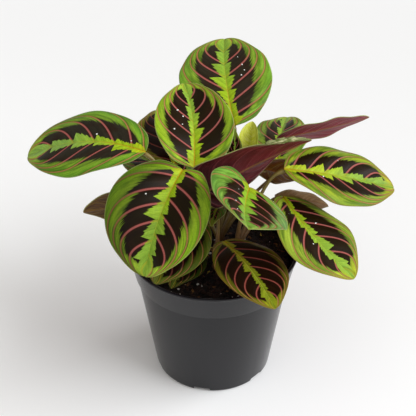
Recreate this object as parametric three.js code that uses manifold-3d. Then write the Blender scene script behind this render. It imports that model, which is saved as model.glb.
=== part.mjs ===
// Prayer plant (Maranta leuconeura) growing in a 12 cm nursery pot.
// Millimetres, +Z up. The origin is the middle of the pot's base, where it rests.
import * as THREE from 'three';
import { mergeVertices } from 'three/addons/utils/BufferGeometryUtils.js';
import Module from 'manifold-3d';

const wasm = await Module();
wasm.setup();

// ---------------------------------------------------------------- driving sizes
const POT_HEIGHT = 101;
const POT_RIM_RADIUS = 60;
const POT_BASE_RADIUS = 42;
const POT_WALL = 1.6;
const POT_FLOOR = 2;
const POT_LIP = 2.2;
const POT_EDGE = 0.6;
const POT_BODY_TOP_RADIUS = 54;
const COLLAR_BOTTOM = 80.5;
const COLLAR_BOTTOM_RADIUS = 55.4;
const POT_SIDES = 60;

const NOTCHES = 6;
const NOTCH_WIDTH = 12;
const NOTCH_HEIGHT = 3.2;
const NOTCH_REACH = 7;
const FIRST_NOTCH_ANGLE = -101;

const SOIL_TOP = 90;
const SOIL_DOME = 2;
const SOIL_LUMP = 0.9;
const SOIL_SHRINK = 1.2;
const BROAD_LUMPS = 0.29;
const FINE_LUMPS = 0.53;
const SOIL_RINGS = 6;
const SOIL_SIDES = 24;
const FIT_GAP = 0.3;
const HOLE_REACH = 40;

const BLADE_THICKNESS = 0.7;
const BLADE_STEPS = 14;
const BLADE_COLUMNS = 6;
const SMALL_BLADE_LENGTH = 45;
const SMALL_BLADE_STEPS = 10;
const SMALL_BLADE_COLUMNS = 4;
const BLADE_FULLNESS = 0.56;
const BLADE_END_WIDTH = 1.2;
const TIP_POINT = 3;
const TIP_START = 0.88;
const BASE_LOBE = 4;
const RIB_STEPS = 40;

const CROWN_RADIUS = 4;
const CROWN_TOP = 97;
const CROWN_FOOT = 78;
const STALK_SIDES = 5;
const STALK_STEPS = 8;
const STALK_SPREAD = 1.4;
const STALK_FOOT_RADIUS = 2.1;
const STALK_RADIUS = 1.3;
const PULVINUS_RADIUS = 1.7;
const PULVINUS_LENGTH = 8;
const STALK_TIP_RADIUS = 0.8;
const STALK_TIP_DEPTH = 1;
const STALK_TIP_REACH = 6;
const STALK_BOW = 0.08;

// ---------------------------------------------------------------- materials
function material(color, roughness) {
  return new THREE.MeshStandardMaterial({ color, roughness, metalness: 0 });
}

const POT_PLASTIC = material('#39393c', 0.5);
const POTTING_SOIL = material('#2a1c14', 0.95);
const STALK_SKIN = material('#6b5a2c', 0.6);
const LEAF_GREEN = material('#5c9a24', 0.45);
const YOUNG_LIME = material('#a9bf26', 0.45);

// ---------------------------------------------------------------- the shoots and leaves
// Each shoot stands in a hole of its own in the soil.
const SHOOTS = {
  left: { x: -14, y: 6 },
  front_left: { x: -9, y: -9 },
  front: { x: 3, y: -13 },
  right: { x: 14, y: -3 },
  back: { x: 4, y: 12 },
};

// base: where the blade begins. heading: compass direction of the rib, anticlockwise from +X.
// rise: slope of the rib at the base. droop: how far the slope falls by the tip.
// swing: how far the heading turns by the tip. roll: lean of the blade, right side down.
// twist: more roll by the tip. widest: below 1 the widest place is nearer the base.
// lift: rise of the halves from the rib. arch: how far they bend over by the margin.
// All angles are in degrees. wave: height of the margin's waves, waves: how many a side.
const LEAVES = [
  {
    name: 'leaf_far_left', shoot: 'left', base: [-45, 0, 178], length: 92, width: 61, widest: 1.05,
    heading: 154, rise: 6, droop: 40, swing: 12, roll: -15, twist: -5, lift: 11, arch: 29,
    wave: 0.8, waves: 2.2, phase: 0.1,
  },
  {
    name: 'leaf_centre', shoot: 'left', base: [-13, 4, 163], length: 71, width: 56, widest: 0.82,
    heading: 88, rise: 34, droop: 24, swing: 16, roll: 9, twist: -10, lift: 20, arch: 14,
    wave: 0.7, waves: 2, phase: 0.4,
  },
  {
    name: 'leaf_top', shoot: 'back', base: [15, 54, 166], length: 84, width: 68, widest: 0.95,
    heading: 105, rise: 36, droop: 33, swing: -19, roll: 0, twist: -8, lift: 14, arch: 24,
    wave: 1, waves: 3, phase: 0.2,
  },
  {
    name: 'leaf_front_left', shoot: 'front_left', base: [-20, -9, 170], length: 76, width: 72, widest: 1,
    heading: -114, rise: -8, droop: 62, swing: -2, roll: -6, twist: 1, lift: 28, arch: 24,
    wave: 0.6, waves: 2, phase: 0.6,
  },
  {
    name: 'leaf_inner_right', shoot: 'right', base: [24, -10, 157], length: 85, width: 61, widest: 0.75,
    heading: -100, rise: 9, droop: -16, swing: 16, roll: -38, twist: 12, lift: 20, arch: 20,
    wave: 0.8, waves: 2, phase: 0.3,
  },
  {
    name: 'leaf_far_right', shoot: 'right', base: [48, 12, 157], length: 82, width: 56, widest: 1.05,
    heading: 8, rise: -10, droop: 15, swing: 6, roll: 13, twist: 3, lift: 18, arch: 38,
    wave: 0.8, waves: 2.4, phase: 0.8,
  },
  {
    name: 'leaf_low_right', shoot: 'right', base: [48, 10, 136], length: 77, width: 56, widest: 1.25,
    heading: -69, rise: -8, droop: 20, swing: 32, roll: -14, twist: 14, lift: 18, arch: 30,
    wave: 0.8, waves: 2, phase: 0.5,
  },
  {
    name: 'leaf_over_rim', shoot: 'front', base: [7, -10, 112], length: 76, width: 46, widest: 1.04,
    heading: -60, rise: 7, droop: 13, swing: -11, roll: -4, twist: 7, lift: 9, arch: 10,
    wave: 0.5, waves: 2, phase: 0,
  },
  {
    name: 'leaf_turned_long', shoot: 'front_left', base: [-8, -8, 149], length: 80, width: 56, widest: 0.5,
    heading: 18, rise: 28, droop: 15, swing: 0, roll: -80, twist: 36, lift: 16, arch: 24,
    wave: 1, waves: 2, phase: 0.2,
  },
  {
    name: 'leaf_turned_right', shoot: 'back', base: [43, 27, 172], length: 70, width: 27, widest: 0.95,
    heading: 22, rise: -2, droop: -3, swing: 4, roll: -62, twist: 6, lift: 10, arch: 22,
    wave: 0.8, waves: 2.5, phase: 0.7,
  },
  {
    name: 'leaf_rear_right', shoot: 'back', base: [46, 54, 134], length: 70, width: 45, widest: 0.95,
    heading: 86, rise: 8, droop: 20, swing: -10, roll: -6, twist: 0, lift: 16, arch: 30,
    wave: 1.5, waves: 3, phase: 0.4,
  },
  {
    name: 'leaf_rolled', shoot: 'back', base: [25, 42, 134], length: 38, width: 30, widest: 1.1,
    heading: 74, rise: 78, droop: 0, swing: 0, roll: 0, twist: 0, lift: 30, arch: -60,
    wave: 0, waves: 1, phase: 0, young: true,
  },
  {
    name: 'leaf_turned_small', shoot: 'back', base: [15, 28, 142], length: 32, width: 12, widest: 0.9,
    heading: -80, rise: 96, droop: 0, swing: 0, roll: 0, twist: 0, lift: 10, arch: 20,
    wave: 0.4, waves: 2, phase: 0,
  },
  {
    name: 'leaf_turned_low', shoot: 'back', base: [31, 32, 145], length: 33, width: 38, widest: 0.9,
    heading: -4, rise: -10, droop: 0, swing: 0, roll: -60, twist: 0, lift: 10, arch: 20,
    wave: 0.6, waves: 2, phase: 0.3,
  },
  {
    name: 'leaf_behind_low_right', shoot: 'right', base: [44, 22, 124], length: 36, width: 28, widest: 0.95,
    heading: 6, rise: 2, droop: 24, swing: 0, roll: 0, twist: 0, lift: 12, arch: 30,
    wave: 0.6, waves: 2, phase: 0.1,
  },
  {
    name: 'leaf_behind_left', shoot: 'left', base: [-26, 24, 152], length: 60, width: 46, widest: 0.9,
    heading: 104, rise: 22, droop: 26, swing: 0, roll: 0, twist: 0, lift: 14, arch: 30,
    wave: 1.2, waves: 3, phase: 0.5,
  },
  {
    name: 'leaf_turned_left', shoot: 'left', base: [-30, 14, 126], length: 58, width: 42, widest: 0.9,
    heading: 186, rise: 6, droop: 16, swing: 0, roll: 70, twist: 0, lift: 12, arch: 30,
    wave: 0.6, waves: 2, phase: 0.2,
  },
  {
    name: 'leaf_under_front_left', shoot: 'front_left', base: [-13, -15, 136],
    length: 54, width: 44, widest: 0.9,
    heading: -112, rise: 0, droop: 44, swing: -14, roll: -14, twist: 0, lift: 14, arch: 30,
    wave: 0.6, waves: 2, phase: 0.6,
  },
  {
    name: 'leaf_over_soil', shoot: 'front_left', base: [-11, -14, 108], length: 36, width: 28, widest: 0.9,
    heading: -116, rise: 0, droop: 18, swing: 0, roll: 0, twist: 0, lift: 14, arch: 30,
    wave: 0.4, waves: 2, phase: 0.1,
  },
  {
    name: 'leaf_smallest', shoot: 'front', base: [3, -10, 139], length: 22, width: 14, widest: 0.9,
    heading: -100, rise: 40, droop: 60, swing: 0, roll: 0, twist: 0, lift: 14, arch: 30,
    wave: 0, waves: 1, phase: 0,
  },
  {
    name: 'leaf_back_left', shoot: 'left', base: [-20, 26, 134], length: 62, width: 44, widest: 0.95,
    heading: 134, rise: 14, droop: 30, swing: 0, roll: 0, twist: 0, lift: 14, arch: 30,
    wave: 1, waves: 2.5, phase: 0.2,
  },
  {
    name: 'leaf_back', shoot: 'back', base: [-4, 30, 110], length: 72, width: 52, widest: 0.95,
    heading: 84, rise: 8, droop: 30, swing: 0, roll: 0, twist: 0, lift: 14, arch: 30,
    wave: 1, waves: 2.5, phase: 0.7,
  },
];

// ---------------------------------------------------------------- solids
function toSolid(geometry) {
  const bare = geometry.clone();
  bare.deleteAttribute('normal');
  bare.deleteAttribute('uv');
  const merged = mergeVertices(bare, 1e-4);
  return new wasm.Manifold(new wasm.Mesh({
    numProp: 3,
    vertProperties: Float32Array.from(merged.attributes.position.array),
    triVerts: Uint32Array.from(merged.index.array),
  }));
}

function toGeometry(solid) {
  const mesh = solid.getMesh();
  return closedGeometry(Array.from(mesh.vertProperties), Array.from(mesh.triVerts));
}

function closedGeometry(positions, faces) {
  const geometry = new THREE.BufferGeometry();
  geometry.setAttribute('position', new THREE.Float32BufferAttribute(positions, 3));
  geometry.setIndex(faces);
  geometry.computeVertexNormals();
  return geometry;
}

// Where stalks cross they can seal in a speck of air: only the body round it is kept.
function largestBody(solid) {
  return solid.decompose().reduce((best, body) => (body.volume() > best.volume() ? body : best));
}

function lathe(profile, sides) {
  const geometry = new THREE.LatheGeometry(profile.map(([r, z]) => new THREE.Vector2(r, z)), sides);
  return geometry.rotateX(Math.PI / 2);
}

function namedMesh(name, geometry, skin) {
  const mesh = new THREE.Mesh(geometry, skin);
  mesh.name = name;
  return mesh;
}

// ---------------------------------------------------------------- pot
// Radius and height of each corner: up the outside, over the rim and down the inside.
function potProfile() {
  return [
    [0, 0],
    [POT_BASE_RADIUS - 1, 0],
    [POT_BASE_RADIUS, 2 * POT_EDGE],
    [POT_BODY_TOP_RADIUS, COLLAR_BOTTOM],
    [COLLAR_BOTTOM_RADIUS, COLLAR_BOTTOM + POT_EDGE],
    [POT_RIM_RADIUS - 0.8, POT_HEIGHT - POT_LIP],
    [POT_RIM_RADIUS, POT_HEIGHT - POT_LIP + POT_EDGE],
    [POT_RIM_RADIUS - 0.3, POT_HEIGHT - 0.4],
    [POT_RIM_RADIUS - 1, POT_HEIGHT],
    [POT_RIM_RADIUS - POT_LIP, POT_HEIGHT - 0.3],
    [COLLAR_BOTTOM_RADIUS - POT_WALL, COLLAR_BOTTOM + 1.4],
    [POT_BODY_TOP_RADIUS - POT_WALL, COLLAR_BOTTOM - 1],
    [POT_BASE_RADIUS - POT_WALL, POT_FLOOR],
    [0, POT_FLOOR],
  ];
}

function notchCutter(index) {
  const box = new THREE.BoxGeometry(2 * NOTCH_REACH, NOTCH_WIDTH, 2 * NOTCH_HEIGHT);
  box.translate(POT_BASE_RADIUS, 0, 0);
  const degrees = FIRST_NOTCH_ANGLE + index * 360 / NOTCHES;
  return box.rotateZ(THREE.MathUtils.degToRad(degrees));
}

function pot() {
  let solid = toSolid(lathe(potProfile(), POT_SIDES));
  for (let i = 0; i < NOTCHES; i += 1) solid = solid.subtract(toSolid(notchCutter(i)));
  return namedMesh('pot', toGeometry(solid), POT_PLASTIC);
}

// ---------------------------------------------------------------- soil
// The radius that the soil fills at height z, just clear of the pot's wall.
function soilRadius(z) {
  const share = (z - POT_WALL) / (COLLAR_BOTTOM - POT_WALL);
  const wall = THREE.MathUtils.lerp(POT_BASE_RADIUS, POT_BODY_TOP_RADIUS, share);
  return wall - POT_WALL - 2 * FIT_GAP;
}

const SOIL_TOP_RADIUS = soilRadius(SOIL_TOP) - SOIL_SHRINK;

// Two crossed sets of low waves, faded out where the soil meets the wall.
function lumpHeight(x, y) {
  const broad = Math.sin(x * BROAD_LUMPS + 1) * Math.cos(y * BROAD_LUMPS);
  const fine = Math.sin((x - y) * FINE_LUMPS);
  const inside = THREE.MathUtils.smoothstep(SOIL_TOP_RADIUS - Math.hypot(x, y), 1, 8);
  return SOIL_LUMP * (broad + 0.6 * fine) * inside;
}

function lumpySoil(geometry) {
  const place = geometry.attributes.position;
  for (let i = 0; i < place.count; i += 1) {
    const z = place.getZ(i);
    if (z > COLLAR_BOTTOM) place.setZ(i, z + lumpHeight(place.getX(i), place.getY(i)));
  }
  return geometry;
}

function soilProfile() {
  const foot = POT_FLOOR + FIT_GAP;
  const shoulder = NOTCH_HEIGHT + 2;
  const belowCollar = COLLAR_BOTTOM - 2;
  const profile = [[0, foot], [POT_BASE_RADIUS - POT_WALL - 2, foot]];
  profile.push([soilRadius(shoulder), shoulder]);
  profile.push([soilRadius(belowCollar), belowCollar]);
  profile.push([SOIL_TOP_RADIUS, SOIL_TOP]);
  for (let i = 1; i <= SOIL_RINGS; i += 1) {
    const share = 1 - i / SOIL_RINGS;
    profile.push([SOIL_TOP_RADIUS * share, SOIL_TOP + SOIL_DOME * (1 - share * share)]);
  }
  return profile;
}

function soil() {
  let solid = toSolid(lumpySoil(lathe(soilProfile(), SOIL_SIDES)));
  const hole = CROWN_RADIUS + FIT_GAP;
  for (const shoot of Object.values(SHOOTS)) {
    const drill = new THREE.CylinderGeometry(hole, hole, HOLE_REACH, 16).rotateX(Math.PI / 2);
    drill.translate(shoot.x, shoot.y, CROWN_FOOT - FIT_GAP + HOLE_REACH / 2);
    solid = solid.subtract(toSolid(drill));
  }
  return namedMesh('soil', toGeometry(solid), POTTING_SOIL);
}

// ---------------------------------------------------------------- blades
function ribDirection(leaf, t) {
  const slope = THREE.MathUtils.degToRad(leaf.rise - leaf.droop * t);
  const heading = THREE.MathUtils.degToRad(leaf.heading + leaf.swing * t);
  const flat = Math.cos(slope);
  return new THREE.Vector3(flat * Math.cos(heading), flat * Math.sin(heading), Math.sin(slope));
}

// The rib's point at share t of its length, with the blade's right and up directions there.
function ribFrame(leaf, t) {
  const bend = THREE.MathUtils.clamp(t, 0, 1);
  const point = new THREE.Vector3(...leaf.base);
  for (let i = 0; i < RIB_STEPS; i += 1) {
    const direction = ribDirection(leaf, bend * (i + 0.5) / RIB_STEPS);
    point.addScaledVector(direction, leaf.length * bend / RIB_STEPS);
  }
  const forward = ribDirection(leaf, bend);
  point.addScaledVector(forward, leaf.length * (t - bend));
  const level = new THREE.Vector3(forward.y, -forward.x, 0).normalize();
  const roll = THREE.MathUtils.degToRad(leaf.roll + leaf.twist * bend);
  const right = level.applyAxisAngle(forward, roll);
  const up = new THREE.Vector3().crossVectors(right, forward);
  return { point, forward, right, up };
}

function bladeShape(leaf, u) {
  return Math.max(Math.sin(Math.PI * u ** leaf.widest), 0) ** BLADE_FULLNESS;
}

// A point of the blade's middle surface: u runs from base to tip, v from -1 (left) to 1.
function bladePoint(leaf, u, v) {
  const side = Math.sign(v);
  const out = Math.abs(v);
  const point = TIP_POINT * Math.max(0, (u - TIP_START) / (1 - TIP_START)) ** 2;
  const lobe = (leaf.young ? 0 : BASE_LOBE) * out ** 2 * (1 - u) ** 6 * Math.min(1, u * 12);
  const frame = ribFrame(leaf, u + (point - lobe) / leaf.length);
  const halfWidth = Math.max(leaf.width / 2 * bladeShape(leaf, u), BLADE_END_WIDTH);
  const reach = halfWidth * out;
  const lift = THREE.MathUtils.degToRad(leaf.lift);
  const curl = THREE.MathUtils.degToRad(leaf.arch) / (leaf.width / 2);
  const across = (Math.sin(lift) - Math.sin(lift - curl * reach)) / curl;
  const above = (Math.cos(lift - curl * reach) - Math.cos(lift)) / curl;
  const turn = leaf.waves * u + leaf.phase + (side < 0 ? 0.5 : 0);
  const wave = leaf.wave * Math.sin(2 * Math.PI * turn) * out ** 3 * bladeShape(leaf, u);
  return frame.point.addScaledVector(frame.right, side * across).addScaledVector(frame.up, above + wave);
}

function bladeGrid(leaf) {
  const small = leaf.length < SMALL_BLADE_LENGTH;
  const steps = small ? SMALL_BLADE_STEPS : BLADE_STEPS;
  const columns = small ? SMALL_BLADE_COLUMNS : BLADE_COLUMNS;
  const grid = [];
  for (let j = 0; j <= steps; j += 1) {
    const u = (1 - Math.cos(Math.PI * j / steps)) / 2;
    const row = [];
    for (let k = 0; k <= columns; k += 1) row.push(bladePoint(leaf, u, 2 * k / columns - 1));
    grid.push(row);
  }
  return grid;
}

function gridNormal(grid, j, k) {
  const last = grid.length - 1;
  const edge = grid[0].length - 1;
  const along = grid[Math.min(j + 1, last)][k].clone().sub(grid[Math.max(j - 1, 0)][k]);
  const across = grid[j][Math.min(k + 1, edge)].clone().sub(grid[j][Math.max(k - 1, 0)]);
  return across.cross(along).normalize();
}

// The grid's outline, once round, as the numbers of its points.
function gridBorder(steps, columns) {
  const at = (j, k) => j * (columns + 1) + k;
  const border = [];
  for (let k = 0; k < columns; k += 1) border.push(at(0, k));
  for (let j = 0; j < steps; j += 1) border.push(at(j, columns));
  for (let k = columns; k > 0; k -= 1) border.push(at(steps, k));
  for (let j = steps; j > 0; j -= 1) border.push(at(j, 0));
  return border;
}

// Both faces of a blade are the same grid, split alike, and a rim of quads joins them.
function bladeGeometry(leaf) {
  const grid = bladeGrid(leaf);
  const steps = grid.length - 1;
  const columns = grid[0].length - 1;
  const positions = [];
  for (const face of [0.5, -0.5]) {
    for (let j = 0; j <= steps; j += 1) {
      for (let k = 0; k <= columns; k += 1) {
        const shift = gridNormal(grid, j, k).multiplyScalar(face * BLADE_THICKNESS);
        positions.push(...grid[j][k].clone().add(shift).toArray());
      }
    }
  }
  const under = grid.length * (columns + 1);
  const faces = [];
  for (let j = 0; j < steps; j += 1) {
    for (let k = 0; k < columns; k += 1) {
      const first = j * (columns + 1) + k;
      const corners = [first, first + 1, first + columns + 2, first + columns + 1];
      const turn = k < columns / 2 ? 0 : 1;
      const [a, b, c, d] = corners.map((_, i) => corners[(i + turn) % 4]);
      faces.push(a, b, c, under + a, under + c, under + b);
      faces.push(a, c, d, under + a, under + d, under + c);
    }
  }
  const border = gridBorder(steps, columns);
  border.forEach((a, i) => {
    const b = border[(i + 1) % border.length];
    faces.push(a, under + b, b, a, under + a, under + b);
  });
  return closedGeometry(positions, faces);
}

// ---------------------------------------------------------------- stalks
function taperedTube(curve, radiusAt) {
  const frames = curve.computeFrenetFrames(STALK_STEPS, false);
  const positions = [];
  const faces = [];
  for (let i = 0; i <= STALK_STEPS; i += 1) {
    const centre = curve.getPointAt(i / STALK_STEPS);
    for (let s = 0; s < STALK_SIDES; s += 1) {
      const angle = 2 * Math.PI * s / STALK_SIDES;
      const spoke = frames.normals[i].clone().multiplyScalar(Math.cos(angle));
      spoke.addScaledVector(frames.binormals[i], Math.sin(angle));
      positions.push(...centre.clone().addScaledVector(spoke, radiusAt(i / STALK_STEPS)).toArray());
    }
  }
  for (let i = 0; i < STALK_STEPS; i += 1) {
    for (let s = 0; s < STALK_SIDES; s += 1) {
      const next = (s + 1) % STALK_SIDES;
      const a = i * STALK_SIDES + s;
      const b = i * STALK_SIDES + next;
      faces.push(a, b, b + STALK_SIDES, a, b + STALK_SIDES, a + STALK_SIDES);
    }
  }
  const far = STALK_STEPS * STALK_SIDES;
  for (let s = 1; s < STALK_SIDES - 1; s += 1) {
    faces.push(0, s + 1, s);
    faces.push(far, far + s, far + s + 1);
  }
  return closedGeometry(positions, faces);
}

// A stalk climbs from its shoot and ends as a slim tip lying just under the blade's rib.
function stalkCurve(leaf, shoot) {
  const below = BLADE_THICKNESS / 2 + FIT_GAP;
  const start = ribFrame(leaf, 0);
  const end = ribFrame(leaf, STALK_TIP_REACH / leaf.length);
  const tip = end.point.clone().addScaledVector(end.up, -below - STALK_TIP_DEPTH);
  const joint = start.point.clone().addScaledVector(start.up, -below - PULVINUS_RADIUS);
  const outward = new THREE.Vector3(joint.x - shoot.x, joint.y - shoot.y, 0).clampLength(0, STALK_SPREAD);
  const foot = new THREE.Vector3(shoot.x, shoot.y, CROWN_FOOT + 8).addScaledVector(outward, 0.5);
  const neck = new THREE.Vector3(shoot.x, shoot.y, CROWN_TOP - 1).add(outward);
  const span = joint.clone().sub(neck);
  const arrive = span.clone().normalize().add(start.forward).normalize();
  const pulvinus = joint.clone().addScaledVector(arrive, -PULVINUS_LENGTH);
  const middle = neck.clone().lerp(pulvinus, 0.5);
  middle.z += STALK_BOW * span.length();
  return new THREE.CatmullRomCurve3([foot, neck, middle, pulvinus, joint, tip], false, 'centripetal');
}

function stalkRadius(curve) {
  const length = curve.getLength();
  const jointStart = 1 - (PULVINUS_LENGTH + STALK_TIP_REACH) / length;
  const jointEnd = 1 - STALK_TIP_REACH / length;
  return (share) => {
    if (share > jointEnd) {
      const fade = (share - jointEnd) / (1 - jointEnd);
      return THREE.MathUtils.lerp(PULVINUS_RADIUS, STALK_TIP_RADIUS, Math.sqrt(fade));
    }
    const sheath = THREE.MathUtils.lerp(STALK_FOOT_RADIUS, STALK_RADIUS, Math.min(1, share * 1.6));
    const swell = THREE.MathUtils.smoothstep(share, jointStart, jointEnd);
    return THREE.MathUtils.lerp(sheath, PULVINUS_RADIUS, swell);
  };
}

function crown(shoot) {
  const profile = [
    [0, CROWN_FOOT],
    [CROWN_RADIUS, CROWN_FOOT],
    [CROWN_RADIUS, SOIL_TOP + 3],
    [CROWN_RADIUS - 0.8, CROWN_TOP - 3],
    [0, CROWN_TOP],
  ];
  return lathe(profile, 10).translate(shoot.x, shoot.y, 0);
}

function shootMesh(name, shoot) {
  let solid = toSolid(crown(shoot));
  for (const leaf of LEAVES.filter((each) => each.shoot === name)) {
    const curve = stalkCurve(leaf, shoot);
    solid = solid.add(toSolid(taperedTube(curve, stalkRadius(curve))));
  }
  return namedMesh(`shoot_${name}`, toGeometry(largestBody(solid)), STALK_SKIN);
}

// ---------------------------------------------------------------- the whole plant
const plant = new THREE.Group();
plant.add(pot(), soil());
for (const [name, shoot] of Object.entries(SHOOTS)) plant.add(shootMesh(name, shoot));
for (const leaf of LEAVES) {
  plant.add(namedMesh(leaf.name, bladeGeometry(leaf), leaf.young ? YOUNG_LIME : LEAF_GREEN));
}

export default plant;
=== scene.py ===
"""Looks of the potted prayer plant: fine leaves, stalks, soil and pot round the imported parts.

Sizes in this file are millimetres, and MM turns them into the scene's metres.
"""

import math
import random

import bpy
import bmesh
import numpy as np
from mathutils import Matrix, Vector, noise


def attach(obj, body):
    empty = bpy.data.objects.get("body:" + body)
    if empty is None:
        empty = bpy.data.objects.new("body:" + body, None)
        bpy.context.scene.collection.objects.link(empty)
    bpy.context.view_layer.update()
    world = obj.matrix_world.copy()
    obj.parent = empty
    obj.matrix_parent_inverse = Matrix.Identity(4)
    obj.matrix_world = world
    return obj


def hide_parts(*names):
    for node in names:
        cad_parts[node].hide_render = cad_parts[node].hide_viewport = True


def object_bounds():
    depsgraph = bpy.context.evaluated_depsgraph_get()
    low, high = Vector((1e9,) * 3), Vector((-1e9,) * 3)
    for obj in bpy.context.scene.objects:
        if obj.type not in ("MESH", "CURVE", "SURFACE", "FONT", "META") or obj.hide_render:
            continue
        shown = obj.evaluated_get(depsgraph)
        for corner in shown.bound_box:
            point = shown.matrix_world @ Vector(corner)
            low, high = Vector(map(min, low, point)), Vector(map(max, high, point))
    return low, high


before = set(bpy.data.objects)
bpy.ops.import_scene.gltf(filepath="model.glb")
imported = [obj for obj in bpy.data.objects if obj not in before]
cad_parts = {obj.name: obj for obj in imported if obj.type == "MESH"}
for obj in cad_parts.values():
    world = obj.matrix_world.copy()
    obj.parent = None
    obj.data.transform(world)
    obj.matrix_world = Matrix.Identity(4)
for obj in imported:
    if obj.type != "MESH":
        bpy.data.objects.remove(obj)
cad_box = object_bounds()

MM = 0.001
SEED = 11


def place_in_scene(thing):
    bpy.context.scene.collection.objects.link(thing)


# ---- camera
CAMERA_PLACE = (0, -612.4, 564.8)
CAMERA_TILT = 35.2
CAMERA_PAN = -0.34
LENS = 94.7
SENSOR = 36


def make_camera():
    data = bpy.data.cameras.new("camera")
    data.lens = LENS
    data.sensor_width = SENSOR
    data.clip_start = 0.01
    data.clip_end = 20
    camera = bpy.data.objects.new("camera", data)
    camera.location = Vector(CAMERA_PLACE) * MM
    camera.rotation_euler = (math.radians(90 - CAMERA_TILT), 0, math.radians(-CAMERA_PAN))
    place_in_scene(camera)
    bpy.context.scene.camera = camera


make_camera()


# ---- node helpers
def linear(hex_colour):
    """A colour written as #rrggbb, as the linear RGBA that a shader takes."""
    values = [int(hex_colour[i:i + 2], 16) / 255 for i in (1, 3, 5)]
    light = [v / 12.92 if v <= 0.04045 else ((v + 0.055) / 1.055) ** 2.4 for v in values]
    return (*light, 1)


class Field:
    """A number that varies over a surface. Arithmetic on it adds Math nodes to its material."""

    def __init__(self, socket):
        self.socket = socket
        self.tree = socket.id_data

    def math(self, operation, *others):
        node = self.tree.nodes.new("ShaderNodeMath")
        node.operation = operation
        for i, value in enumerate((self, *others)):
            plug(value, node.inputs[i])
        return Field(node.outputs[0])

    def __add__(self, other):
        return self.math("ADD", other)

    def __sub__(self, other):
        return self.math("SUBTRACT", other)

    def __mul__(self, other):
        return self.math("MULTIPLY", other)

    def smooth(self, low, high):
        """0 below low and 1 above high, with a soft step between; high may be the lower one."""
        node = self.tree.nodes.new("ShaderNodeMapRange")
        node.interpolation_type = "SMOOTHSTEP"
        plug(self, node.inputs["Value"])
        plug(low, node.inputs["From Min"])
        plug(high, node.inputs["From Max"])
        return Field(node.outputs["Result"])


def plug(value, socket):
    """Links a field or a node's output to the socket, or sets a plain number or colour on it."""
    if isinstance(value, Field):
        value = value.socket
    if isinstance(value, bpy.types.NodeSocket):
        socket.id_data.links.new(value, socket)
    elif isinstance(value, str):
        socket.default_value = linear(value)
    else:
        socket.default_value = value


def mix(share, first, second):
    """The first colour where share is 0 and the second where it is 1."""
    node = share.tree.nodes.new("ShaderNodeMix")
    node.data_type = "RGBA"
    plug(share, node.inputs["Factor"])
    plug(first, node.inputs[6])
    plug(second, node.inputs[7])
    return node.outputs[2]


def coat(ground, *layers):
    """The ground colour with layers over it, each one's share and colour in turn."""
    for share, colour in layers:
        ground = mix(share, ground, colour)
    return ground


def scale_colour(colour, factor):
    """The colour made lighter or darker by a field."""
    node = factor.tree.nodes.new("ShaderNodeVectorMath")
    node.operation = "SCALE"
    plug(colour, node.inputs[0])
    plug(factor, node.inputs["Scale"])
    return node.outputs[0]


def join(x, y, z):
    """A vector of fields or numbers, of which the first is a field."""
    node = x.tree.nodes.new("ShaderNodeCombineXYZ")
    for i, value in enumerate((x, y, z)):
        plug(value, node.inputs[i])
    return node.outputs[0]


def split(vector):
    """The three numbers of a vector, as fields."""
    node = vector.id_data.nodes.new("ShaderNodeSeparateXYZ")
    plug(vector, node.inputs[0])
    return [Field(output) for output in node.outputs]


def attribute(tree, name):
    """The three numbers that a mesh attribute holds, as fields."""
    node = tree.nodes.new("ShaderNodeAttribute")
    node.attribute_name = name
    return split(node.outputs["Vector"])


def grain(place, scale, detail=2, roughness=0.5):
    """Noise from 0 to 1 round 0.5 at a place, with scale in features per unit."""
    node = place.id_data.nodes.new("ShaderNodeTexNoise")
    plug(place, node.inputs["Vector"])
    node.inputs["Scale"].default_value = scale
    node.inputs["Detail"].default_value = detail
    node.inputs["Roughness"].default_value = roughness
    return Field(node.outputs["Fac"])


def streaks(x, y, z, detail=2):
    """Noise at a place made of three fields or numbers, so that it can be drawn out one way."""
    return grain(join(x, y, z), 1, detail)


def chance(x, y, z):
    """A random share from 0 to 1 that stays the same while the three numbers do."""
    node = x.tree.nodes.new("ShaderNodeTexWhiteNoise")
    node.noise_dimensions = "3D"
    plug(join(x, y, z), node.inputs["Vector"])
    return Field(node.outputs["Value"])


def object_place(tree):
    return tree.nodes.new("ShaderNodeTexCoord").outputs["Object"]


def new_material(name, roughness, specular=0.5):
    material = bpy.data.materials.new(name)
    material.use_nodes = True
    shader = material.node_tree.nodes["Principled BSDF"]
    shader.inputs["Specular IOR Level"].default_value = specular
    shader.inputs["Roughness"].default_value = roughness
    return material, material.node_tree, shader


def dress(material, colour, height, depth):
    """Gives a material its colour, and relief of that depth in mm where height goes from 0 to 1."""
    tree = material.node_tree
    shader = tree.nodes["Principled BSDF"]
    node = tree.nodes.new("ShaderNodeBump")
    node.inputs["Strength"].default_value = 1
    node.inputs["Distance"].default_value = depth * MM
    plug(height, node.inputs["Height"])
    plug(node.outputs["Normal"], shader.inputs["Normal"])
    plug(colour, shader.inputs["Base Color"])
    return material


# ---- mesh helpers
def new_piece(name, vertices, faces, materials, node):
    """A piece from points in millimetres, that stands for a node."""
    mesh = bpy.data.meshes.new(name)
    mesh.from_pydata((np.asarray(vertices) * MM).tolist(), [], faces)
    return declare(name, mesh, materials, node)


def declare(name, mesh, materials, node):
    """A smooth piece from its mesh. It rides on the root and may stand for a node."""
    mesh.shade_smooth()
    for material in materials:
        mesh.materials.append(material)
    piece = bpy.data.objects.new(name, mesh)
    place_in_scene(piece)
    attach(piece, "root")
    if node:
        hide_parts(node)
    return piece


def set_attribute(piece, name, values):
    """Three numbers for each vertex of the piece."""
    data = piece.data.attributes.new(name, "FLOAT_VECTOR", "POINT")
    data.data.foreach_set("vector", np.asarray(values, np.float32).ravel())


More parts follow.
